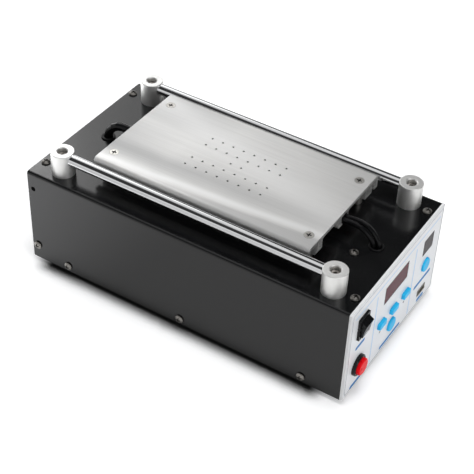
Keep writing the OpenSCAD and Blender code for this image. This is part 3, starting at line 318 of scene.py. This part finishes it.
class Look(Nodes):
    """A principled material, with the steps that the finishes below share."""

    def __init__(self, name, colour, rough, edge_mm, metal=0.0, coat=0.0, specular=0.5):
        self.material = bpy.data.materials.new(name)
        self.material.use_nodes = True
        super().__init__(self.material.node_tree)
        self.bsdf = next(node for node in self.tree.nodes if node.type == "BSDF_PRINCIPLED")
        self.colour = opaque(colour)
        self.bsdf.inputs["Base Color"].default_value = self.colour
        self.bsdf.inputs["Roughness"].default_value = rough
        self.bsdf.inputs["Metallic"].default_value = metal
        self.bsdf.inputs["Specular IOR Level"].default_value = specular
        self.bsdf.inputs["Coat Weight"].default_value = coat
        self.bsdf.inputs["Coat Roughness"].default_value = COAT_ROUGH
        self.normal = self.bevel(edge_mm)
        self.link(self.normal, self.bsdf.inputs["Normal"])

    def bevel(self, radius_mm):
        node = self.node("ShaderNodeBevel", samples=BEVEL_SAMPLES)
        node.inputs["Radius"].default_value = radius_mm * MM
        return node.outputs[0]

    def noise(self, scale, detail, rough=0.55, stretch=None):
        node = self.node("ShaderNodeTexNoise")
        node.inputs["Scale"].default_value = scale
        node.inputs["Detail"].default_value = detail
        node.inputs["Roughness"].default_value = rough
        place = self.coord.outputs["Object"]
        if stretch:
            mapping = self.node("ShaderNodeMapping")
            mapping.inputs["Scale"].default_value = stretch
            self.link(place, mapping.inputs["Vector"])
            place = mapping.outputs[0]
        self.link(place, node.inputs["Vector"])
        return node.outputs["Fac"]

    def bump(self, value, height_mm, strength):
        node = self.node("ShaderNodeBump")
        node.inputs["Strength"].default_value = strength
        node.inputs["Distance"].default_value = height_mm * MM
        self.link(value, node.inputs["Height"])
        self.link(self.normal, node.inputs["Normal"])
        self.normal = node.outputs[0]
        self.link(self.normal, self.bsdf.inputs["Normal"])

    def rough(self, value, low, high):
        self.link(self.span(value, NOISE_LOW, NOISE_HIGH, low, high), self.bsdf.inputs["Roughness"])

    def tint(self, mask, colour, amount=1.0):
        """Lays a colour over the ones before it, where the mask is light."""
        mix = self.node("ShaderNodeMix", data_type="RGBA")
        mix.inputs["A"].default_value = self.colour
        base = self.bsdf.inputs["Base Color"]
        if base.is_linked:
            self.link(base.links[0].from_socket, mix.inputs["A"])
        mix.inputs["B"].default_value = opaque(colour)
        self.link(self.multiply(mask, amount, clamp=True), mix.inputs["Factor"])
        self.link(mix.outputs["Result"], base)

    def bell(self, value, width):
        """One where the value is nothing, fading out over the width on both sides."""
        share = self.math("DIVIDE", value, width)
        return self.math("EXPONENT", self.multiply(self.multiply(share, share), -1.0))

    def hollow_shade(self, reach_mm, low, high):
        """A mask for painted shade: nothing on open faces, one deep in holes and corners."""
        node = self.node("ShaderNodeAmbientOcclusion", samples=CAVITY_SAMPLES)
        node.inputs["Distance"].default_value = reach_mm * MM
        return self.inverse(self.span(node.outputs["AO"], low, high), clamp=True)

    def edge_mask(self, radius_mm, gain):
        """Light on the edges, nothing on flat faces."""
        here = self.node("ShaderNodeNewGeometry")
        dot = self.node("ShaderNodeVectorMath", operation="DOT_PRODUCT")
        self.link(self.bevel(radius_mm), dot.inputs[0])
        self.link(here.outputs["Normal"], dot.inputs[1])
        return self.multiply(self.inverse(dot.outputs["Value"]), gain, clamp=True)


def powder_paint():
    look = Look("powder_paint", (0.0042, 0.0044, 0.0048), rough=0.2, edge_mm=0.35, specular=0.43)
    look.bump(look.noise(420, detail=2.0, rough=0.5), height_mm=0.006, strength=0.4)
    look.rough(look.noise(38, detail=4.0), low=0.17, high=0.24)
    specks = look.span(look.noise(1500, detail=1.0), low=0.70, high=0.76)
    look.tint(specks, (0.05, 0.05, 0.05), amount=0.3)
    # Painted highlight along the edges
    look.tint(look.edge_mask(radius_mm=0.5, gain=2.0), (0.045, 0.045, 0.047), amount=0.3)
    return look.material


def white_paint():
    look = Look("white_paint", (0.80, 0.81, 0.82), rough=0.42, edge_mm=0.2)
    look.bump(look.noise(600, detail=2.0), height_mm=0.008, strength=0.4)
    look.rough(look.noise(60, detail=3.0), low=0.36, high=0.48)
    look.tint(look.noise(25, detail=3.0), (0.70, 0.71, 0.73), amount=0.25)
    return look.material


def panel_film():
    look = Look("panel_film", (0.86, 0.875, 0.895), rough=0.33, edge_mm=0.1, coat=0.1)
    look.bump(look.noise(900, detail=2.0), height_mm=0.004, strength=0.4)
    look.rough(look.noise(90, detail=3.0), low=0.28, high=0.38)
    look.tint(look.noise(12, detail=2.0), (0.80, 0.84, 0.90), amount=0.4)
    return look.material


def ink(name, colour):
    look = Look(name, colour, rough=0.38, edge_mm=0.02, specular=0.15)
    look.rough(look.noise(300, detail=3.0), low=0.32, high=0.46)
    look.tint(look.noise(700, detail=2.0), scaled(colour, 1.25, lift=0.02), amount=0.3)
    return look.material


def rubber(name, colour, rough, specular=0.2):
    look = Look(name, colour, rough=0.55, edge_mm=0.2, specular=specular)
    look.bump(look.noise(700, detail=3.0), height_mm=0.012, strength=0.5)
    look.rough(look.noise(120, detail=4.0), *rough)
    look.tint(look.noise(60, detail=4.0), scaled(colour, 2.2), amount=0.35)
    return look.material


def bright_metal(name, colour, rough, grain=(1, 1, 1), shade_reach_mm=None):
    """A metal whose grain is stretched where its numbers are small, with painted shade in its recesses
    if any.
    """
    look = Look(name, colour, rough=sum(rough) / 2, edge_mm=0.15, metal=1.0)
    look.bump(look.noise(900, detail=3.0, rough=0.6, stretch=grain), height_mm=0.006, strength=0.5)
    look.rough(look.noise(140, detail=4.0), *rough)
    look.tint(look.noise(70, detail=3.0), scaled(colour, 0.72), amount=0.4)
    if shade_reach_mm:
        # Painted shade in the recesses
        look.tint(look.hollow_shade(shade_reach_mm, low=0.35, high=0.8), (0.015, 0.015, 0.014))
    return look.material


def brushed_plate():
    look = Look("brushed_plate", (0.88, 0.877, 0.865), rough=0.55, edge_mm=0.3, metal=1.0)
    # The grain lies along X, so the gloss spreads across it
    across = look.node("ShaderNodeCombineXYZ")
    across.inputs["Y"].default_value = 1.0
    look.link(across.outputs[0], look.bsdf.inputs["Tangent"])
    look.bsdf.inputs["Anisotropic"].default_value = 0.6
    fine = look.noise(1000, detail=4.0, rough=0.7, stretch=(0.018, 1, 1))
    coarse = look.noise(260, detail=3.0, rough=0.6, stretch=(0.03, 1, 1))
    look.bump(fine, height_mm=0.006, strength=0.35)
    look.bump(coarse, height_mm=0.008, strength=0.2)
    grain = look.add(look.multiply(fine, 0.55), look.multiply(coarse, 0.45))
    look.rough(grain, low=0.50, high=0.62)
    look.tint(look.span(grain, low=0.42, high=0.62), (0.74, 0.737, 0.725), amount=0.4)

    # Painted highlights and painted shade: lighter and darker reflections laid on the plate as colour
    painted_highlight, painted_shade = plate_painted_light(look)
    look.tint(painted_shade, (0.46, 0.462, 0.465))
    look.tint(painted_highlight, (0.99, 0.99, 0.985))

    # Painted shade in the plate's holes and corners
    look.tint(look.hollow_shade(reach_mm=1.5, low=0.15, high=0.55), (0.02, 0.02, 0.02))
    # Painted shade: a dark ring round each suction hole
    x, y, _ = look.axes("Object")
    in_x = look.math("LESS_THAN", look.math("ABSOLUTE", look.subtract(x, MID_X)), HOLE_SHADE_X)
    in_y = look.math("LESS_THAN", look.math("ABSOLUTE", y), HOLE_SHADE_Y)
    hole_shade_rings = look.multiply(look.edge_mask(radius_mm=0.5, gain=4.0), look.multiply(in_x, in_y))
    look.tint(hole_shade_rings, (0.03, 0.03, 0.03))
    return look.material


def plate_painted_light(look):
    """Masks of the painted highlights and the painted shade along the plate: lighter and darker
    reflections, laid on the metal as colour, so they stay where they are from any side."""
    flat_x, flat_y, _ = look.axes("Object")
    # The painted bands wander by a millimetre or two, so their edges aren't ruled lines
    drift = look.multiply(look.subtract(look.noise(14, detail=2.0), 0.5), 0.008)
    x = look.subtract(flat_x, MID_X)
    y = look.add(flat_y, drift)

    def painted_band(at_y, slope, width):
        return look.bell(look.subtract(look.subtract(y, at_y), look.multiply(x, slope)), width)

    stripe = painted_band(at_y=-0.0428, slope=0.07, width=0.0036)
    beam = look.multiply(painted_band(at_y=0.014, slope=-0.30, width=0.017), 0.55)

    middle = look.multiply(painted_band(at_y=-0.026, slope=0.05, width=0.011),
                           look.span(x, low=-0.10, high=0.10, to_low=0.7, to_high=0.3))
    left_end = look.multiply(painted_band(at_y=-0.006, slope=0.0, width=0.022),
                             look.span(x, low=-0.05, high=-0.10))
    left = look.multiply(left_end, 0.5)
    back = look.multiply(look.span(flat_y, low=0.010, high=0.030, to_high=0.5),
                         look.span(x, low=-0.02, high=-0.07))
    from_near_edge = look.subtract(y, look.multiply(x, 0.07))
    front = look.multiply(look.span(from_near_edge, low=-0.0465, high=-0.0500, to_high=0.45),
                          look.span(x, low=-0.05, high=0.02))
    to_far_corner = look.add(x, look.multiply(y, 1.2))
    corner = look.span(to_far_corner, low=0.085, high=0.150, to_high=0.25)

    # Painted highlights
    painted_highlight = look.add(stripe, beam)
    # Painted shade
    painted_shade = look.add(look.add(middle, back), look.add(front, look.add(left, corner)))
    return painted_highlight, painted_shade


def turned_posts():
    """Turning marks run round each post's side and top."""
    look = Look("turned_posts", (0.93, 0.93, 0.915), rough=0.46, edge_mm=0.25, metal=1.0)
    x, y, z = look.axes("Object")
    dx = look.subtract(look.math("ABSOLUTE", look.subtract(x, MID_X)), POST_X)
    dy = look.subtract(look.math("ABSOLUTE", y), POST_Y)
    radius = look.math("SQRT", look.add(look.multiply(dx, dx), look.multiply(dy, dy)))
    line = look.node("ShaderNodeCombineXYZ")
    look.link(radius, line.inputs["X"])
    look.link(z, line.inputs["Y"])
    marks = look.node("ShaderNodeTexNoise")
    marks.inputs["Scale"].default_value = 3200
    marks.inputs["Detail"].default_value = 2
    look.link(line.outputs[0], marks.inputs["Vector"])
    look.bump(marks.outputs["Fac"], height_mm=0.005, strength=0.4)
    look.rough(marks.outputs["Fac"], low=0.42, high=0.54)
    look.tint(look.noise(80, detail=3.0), (0.88, 0.88, 0.87), amount=0.3)
    return look.material


def chrome():
    look = Look("chrome", (0.62, 0.625, 0.635), rough=0.09, edge_mm=0.1, metal=1.0)
    streaks = look.noise(60, detail=4.0, rough=0.6, stretch=(0.2, 1, 1))
    look.rough(streaks, low=0.07, high=0.12)
    scratches = look.noise(1400, detail=2.0, rough=0.5, stretch=(0.05, 1, 1))
    look.bump(scratches, height_mm=0.0012, strength=0.3)
    return look.material


def moulded(name, colour, rough, grain_mm=0.006, specular=0.5):
    look = Look(name, colour, rough=sum(rough) / 2, edge_mm=0.25, specular=specular)
    look.bump(look.noise(1100, detail=2.0), height_mm=grain_mm, strength=0.4)
    look.rough(look.noise(160, detail=3.0), *rough)
    # Painted highlight along the edges
    look.tint(look.edge_mask(radius_mm=0.4, gain=2.0), scaled(colour, 1.3, lift=0.015), amount=0.5)
    look.tint(look.noise(110, detail=3.0), scaled(colour, 0.8), amount=0.35)
    return look.material


def circuit_board():
    look = Look("circuit_board", (0.015, 0.16, 0.07), rough=0.35, edge_mm=0.1, coat=0.2)
    traces = look.node("ShaderNodeTexBrick")
    traces.inputs["Scale"].default_value = 160
    traces.inputs["Mortar Size"].default_value = 0.02
    look.link(look.coord.outputs["Object"], traces.inputs["Vector"])
    look.tint(traces.outputs["Fac"], (0.03, 0.30, 0.14), amount=0.7)
    look.rough(look.noise(200, detail=3.0), low=0.28, high=0.42)
    return look.material


def window(name, colour):
    look = Look(name, colour, rough=0.14, edge_mm=0.15, specular=0.05)
    look.rough(look.noise(70, detail=3.0), low=0.10, high=0.18)
    look.tint(look.noise(40, detail=3.0), scaled(colour, 0.8), amount=0.4)
    return look.material


# A finish for each material slot of the record
LOOKS = {
    "black_paint": powder_paint(),
    "white_paint": white_paint(),
    "film": panel_film(),
    "rubber": rubber("rubber", (0.006, 0.006, 0.0065), rough=(0.26, 0.38), specular=0.15),
    "cable_rubber": rubber("cable_rubber", (0.004, 0.004, 0.0045), rough=(0.16, 0.24), specular=0.14),
    "silicone": rubber("silicone", (0.10, 0.022, 0.014), rough=(0.4, 0.55)),
    "zinc": bright_metal("zinc", (0.24, 0.23, 0.215), rough=(0.28, 0.38), shade_reach_mm=1.6),
    "nickel": bright_metal("nickel", (0.66, 0.645, 0.61), rough=(0.30, 0.42), shade_reach_mm=1.6),
    "dark_steel": bright_metal("dark_steel", (0.46, 0.43, 0.40), rough=(0.28, 0.42)),
    "aluminium": brushed_plate(),
    "milled_aluminium": bright_metal("milled_aluminium", (0.74, 0.74, 0.735), rough=(0.3, 0.42),
                                     grain=(0.1, 1, 1)),
    "turned_aluminium": turned_posts(),
    "chrome": chrome(),
    "brass": bright_metal("brass", (0.72, 0.55, 0.25), rough=(0.2, 0.34)),
    "black_plastic": moulded("black_plastic", (0.006, 0.006, 0.0065), rough=(0.2, 0.32), specular=0.22),
    "dark_plastic": moulded("dark_plastic", (0.03, 0.03, 0.033), rough=(0.4, 0.55)),
    "red_plastic": moulded("red_plastic", (0.92, 0.004, 0.010), rough=(0.24, 0.34), specular=0.06),
    "blue_plastic": moulded("blue_plastic", (0.030, 0.56, 1.0), rough=(0.28, 0.40), specular=0.12),
    "white_plastic": moulded("white_plastic", (0.78, 0.75, 0.68), rough=(0.35, 0.5)),
    "green_plastic": moulded("green_plastic", (0.03, 0.30, 0.12), rough=(0.35, 0.5)),
    "circuit_board": circuit_board(),
    "ceramic": moulded("ceramic", (0.62, 0.54, 0.38), rough=(0.4, 0.6), grain_mm=0.02),
    "iron_core": bright_metal("iron_core", (0.22, 0.20, 0.18), rough=(0.45, 0.6), grain=(1, 1, 40)),
    "red_window": window("red_window", (0.10, 0.012, 0.026)),
    "grey_window": window("grey_window", (0.050, 0.042, 0.046)),
}
INK_BLUE = ink("ink_blue", (0.012, 0.19, 0.50))
INK_PALE = ink("ink_pale", (0.50, 0.66, 0.88))
INK_GREY = ink("ink_grey", (0.16, 0.17, 0.19))
INK_DARK = ink("ink_dark", (0.05, 0.05, 0.06))
MARK_WHITE = moulded("mark_white", (0.75, 0.75, 0.74), rough=(0.35, 0.5))


def dress_nodes():
    slots = {part["node"]: part["material_slot"] for part in frame["record"]["subparts"]}
    for name, node in frame["nodes"].items():
        node.data.materials.clear()
        node.data.materials.append(LOOKS[slots[name]])


# Prints

CORNER_STEPS = 6
PRINT_T = 0.06 * MM

# The prints' sizes and places are in mm: y is across the panel from its middle, and z is up from
# the case's underside. A bar has its two ends, the height of its middle, and its thickness.
BARS = (
    (-65.6, -50.6, 45.0, 3.2),
    (-67.4, -48.2, 3.9, 3.2),
    (-18.6, 17.4, 6.4, 3.2),
    (37.4, 68.2, 27.6, 3.2),
    (48.0, 60.8, 6.4, 3.4),
)

FRAME_W = 151.6
FRAME_H = 84.6
FRAME_Z = 45
FRAME_LINE = 0.35
FRAME_OUTER_R = 1.6
FRAME_INNER_R = 1.2

DIVIDER_YS = (-35.3, 31.2)
DIVIDER_Z = 40.4
DIVIDER_W = 1.6
DIVIDER_H = 70
DIVIDER_R = 0.3
HEAD_LINE_Y = 0.5
HEAD_LINE_Z = 80.6
HEAD_LINE_W = 144.1
HEAD_LINE_H = 1.0
HEAD_LINE_R = 0.2

# A small triangle has its place, and 1 where it points up or -1 where it points down
TRIANGLES = ((-22.2, 28.4, 1), (19.0, 28.0, -1))
TRIANGLE_HALF_W = 1.3
TRIANGLE_FOOT = 0.9
TRIANGLE_TIP = 1.1

# A window has its middle, its width and its height
WINDOWS = ((-1.8, 64.9, 38.2, 16.0), (54.2, 64.9, 16.6, 14.5))
WINDOW_GAP = 0.05
WINDOW_LINE = 0.7
WINDOW_OUTER_R = 0.9
WINDOW_INNER_R = 0.5

# The rocker's pivot, its tilt in degrees, and the mark on its face as seen from the pivot
PIVOT_IN = 0.6
PIVOT_Y = -58.5
PIVOT_Z = 65.6
ROCKER_TILT = 11
ROCKER_MARK_W = 5.4
ROCKER_MARK_H = 1.6
ROCKER_MARK_R = 0.3
ROCKER_MARK_DOWN = 4.5
ROCKER_MARK_FOOT = 5.6
ROCKER_MARK_TOP = 5.76


def finish_piece(bm, name, material, body=HOUSING):
    bmesh.ops.recalc_face_normals(bm, faces=bm.faces)
    mesh = bpy.data.meshes.new(name)
    bm.to_mesh(mesh)
    bm.free()
    piece = bpy.data.objects.new(name, mesh)
    bpy.context.scene.collection.objects.link(piece)
    piece.data.materials.append(material)
    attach(piece, body)


def round_rect(width, height, radius):
    """The points of a rectangle with round corners, about its middle."""
    radius = min(radius, width / 2, height / 2)
    x = width / 2 - radius
    y = height / 2 - radius
    points = []
    for mid_x, mid_y, start in ((x, y, 0), (-x, y, 90), (-x, -y, 180), (x, -y, 270)):
        for i in range(CORNER_STEPS + 1):
            angle = math.radians(start + 90 * i / CORNER_STEPS)
            points.append((mid_x + radius * math.cos(angle), mid_y + radius * math.sin(angle)))
    return points


def slab(bm, outline, low, high, hole=None):
    """An outline of (y, z) points, drawn out along X from low to high. A hole in it has as many
    points. All are in metres."""
    outer = [[bm.verts.new((x, y, z)) for y, z in outline] for x in (low, high)]
    if hole:
        inner = [[bm.verts.new((x, y, z)) for y, z in hole] for x in (low, high)]
    count = len(outline)
    for i in range(count):
        j = (i + 1) % count
        bm.faces.new((outer[0][i], outer[0][j], outer[1][j], outer[1][i]))
        if hole:
            bm.faces.new((inner[0][i], inner[1][i], inner[1][j], inner[0][j]))
            for end in (0, 1):
                bm.faces.new((outer[end][i], inner[end][i], inner[end][j], outer[end][j]))
    if not hole:
        bm.faces.new(list(reversed(outer[0])))
        bm.faces.new(outer[1])


def on_panel(points, y, z):
    """Points in mm about a place on the panel, as metres in the shared frame."""
    return [((y + across) * MM, (z + up) * MM + BASE_Z) for across, up in points]


def panel_print(bm, outline, y, z, hole=None):
    """A thin print on the film, of points in mm about its place on the panel."""
    placed_hole = on_panel(hole, y, z) if hole else None
    slab(bm, on_panel(outline, y, z), FRONT_X, FRONT_X + PRINT_T, placed_hole)


def print_bars():
    bm = bmesh.new()
    for from_y, to_y, z, height in BARS:
        panel_print(bm, round_rect(to_y - from_y, height, height / 2), (from_y + to_y) / 2, z)
    finish_piece(bm, "panel_bars", INK_BLUE)


def print_frame_line():
    bm = bmesh.new()
    outer = round_rect(FRAME_W, FRAME_H, FRAME_OUTER_R)
    inner = round_rect(FRAME_W - 2 * FRAME_LINE, FRAME_H - 2 * FRAME_LINE, FRAME_INNER_R)
    panel_print(bm, outer, 0, FRAME_Z, inner)
    finish_piece(bm, "panel_frame_line", INK_GREY)


def print_dividers():
    bm = bmesh.new()
    for y in DIVIDER_YS:
        panel_print(bm, round_rect(DIVIDER_W, DIVIDER_H, DIVIDER_R), y, DIVIDER_Z)
    head_line = round_rect(HEAD_LINE_W, HEAD_LINE_H, HEAD_LINE_R)
    panel_print(bm, head_line, HEAD_LINE_Y, HEAD_LINE_Z)
    finish_piece(bm, "panel_dividers", INK_PALE)


def print_triangles():
    bm = bmesh.new()
    for y, z, up in TRIANGLES:
        foot = -TRIANGLE_FOOT * up
        tip = TRIANGLE_TIP * up
        outline = [(-TRIANGLE_HALF_W, foot), (TRIANGLE_HALF_W, foot), (0, tip)]
        panel_print(bm, outline, y, z)
    finish_piece(bm, "panel_marks", INK_DARK)


def print_window_frames():
    """A dark line round each of the two windows."""
    bm = bmesh.new()
    for y, z, width, height in WINDOWS:
        inner_w = width + 2 * WINDOW_GAP
        inner_h = height + 2 * WINDOW_GAP
        outer = round_rect(inner_w + 2 * WINDOW_LINE, inner_h + 2 * WINDOW_LINE, WINDOW_OUTER_R)
        inner = round_rect(inner_w, inner_h, WINDOW_INNER_R)
        panel_print(bm, outer, y, z, inner)
    finish_piece(bm, "window_frames", INK_DARK)


def make_rocker_mark():
    """The white line on the rocker's lower half, in the rocker's own tilted plane."""
    outline = round_rect(ROCKER_MARK_W, ROCKER_MARK_H, ROCKER_MARK_R)
    lowered = [(across * MM, (up - ROCKER_MARK_DOWN) * MM) for across, up in outline]
    bm = bmesh.new()
    slab(bm, lowered, ROCKER_MARK_FOOT * MM, ROCKER_MARK_TOP * MM)
    pivot = Vector((FRONT_X - PIVOT_IN * MM, PIVOT_Y * MM, BASE_Z + PIVOT_Z * MM))
    turn = Matrix.Rotation(math.radians(ROCKER_TILT), 4, "Y")
    bmesh.ops.transform(bm, matrix=Matrix.Translation(pivot) @ turn, verts=bm.verts)
    finish_piece(bm, "rocker_mark", MARK_WHITE, "rocker")


make_camera()
make_world()
make_floor()
make_lamps()

dress_nodes()
print_bars()
print_frame_line()
print_dividers()
print_triangles()
print_window_frames()
make_rocker_mark()

scene = bpy.context.scene
scene.view_settings.view_transform = "Standard"
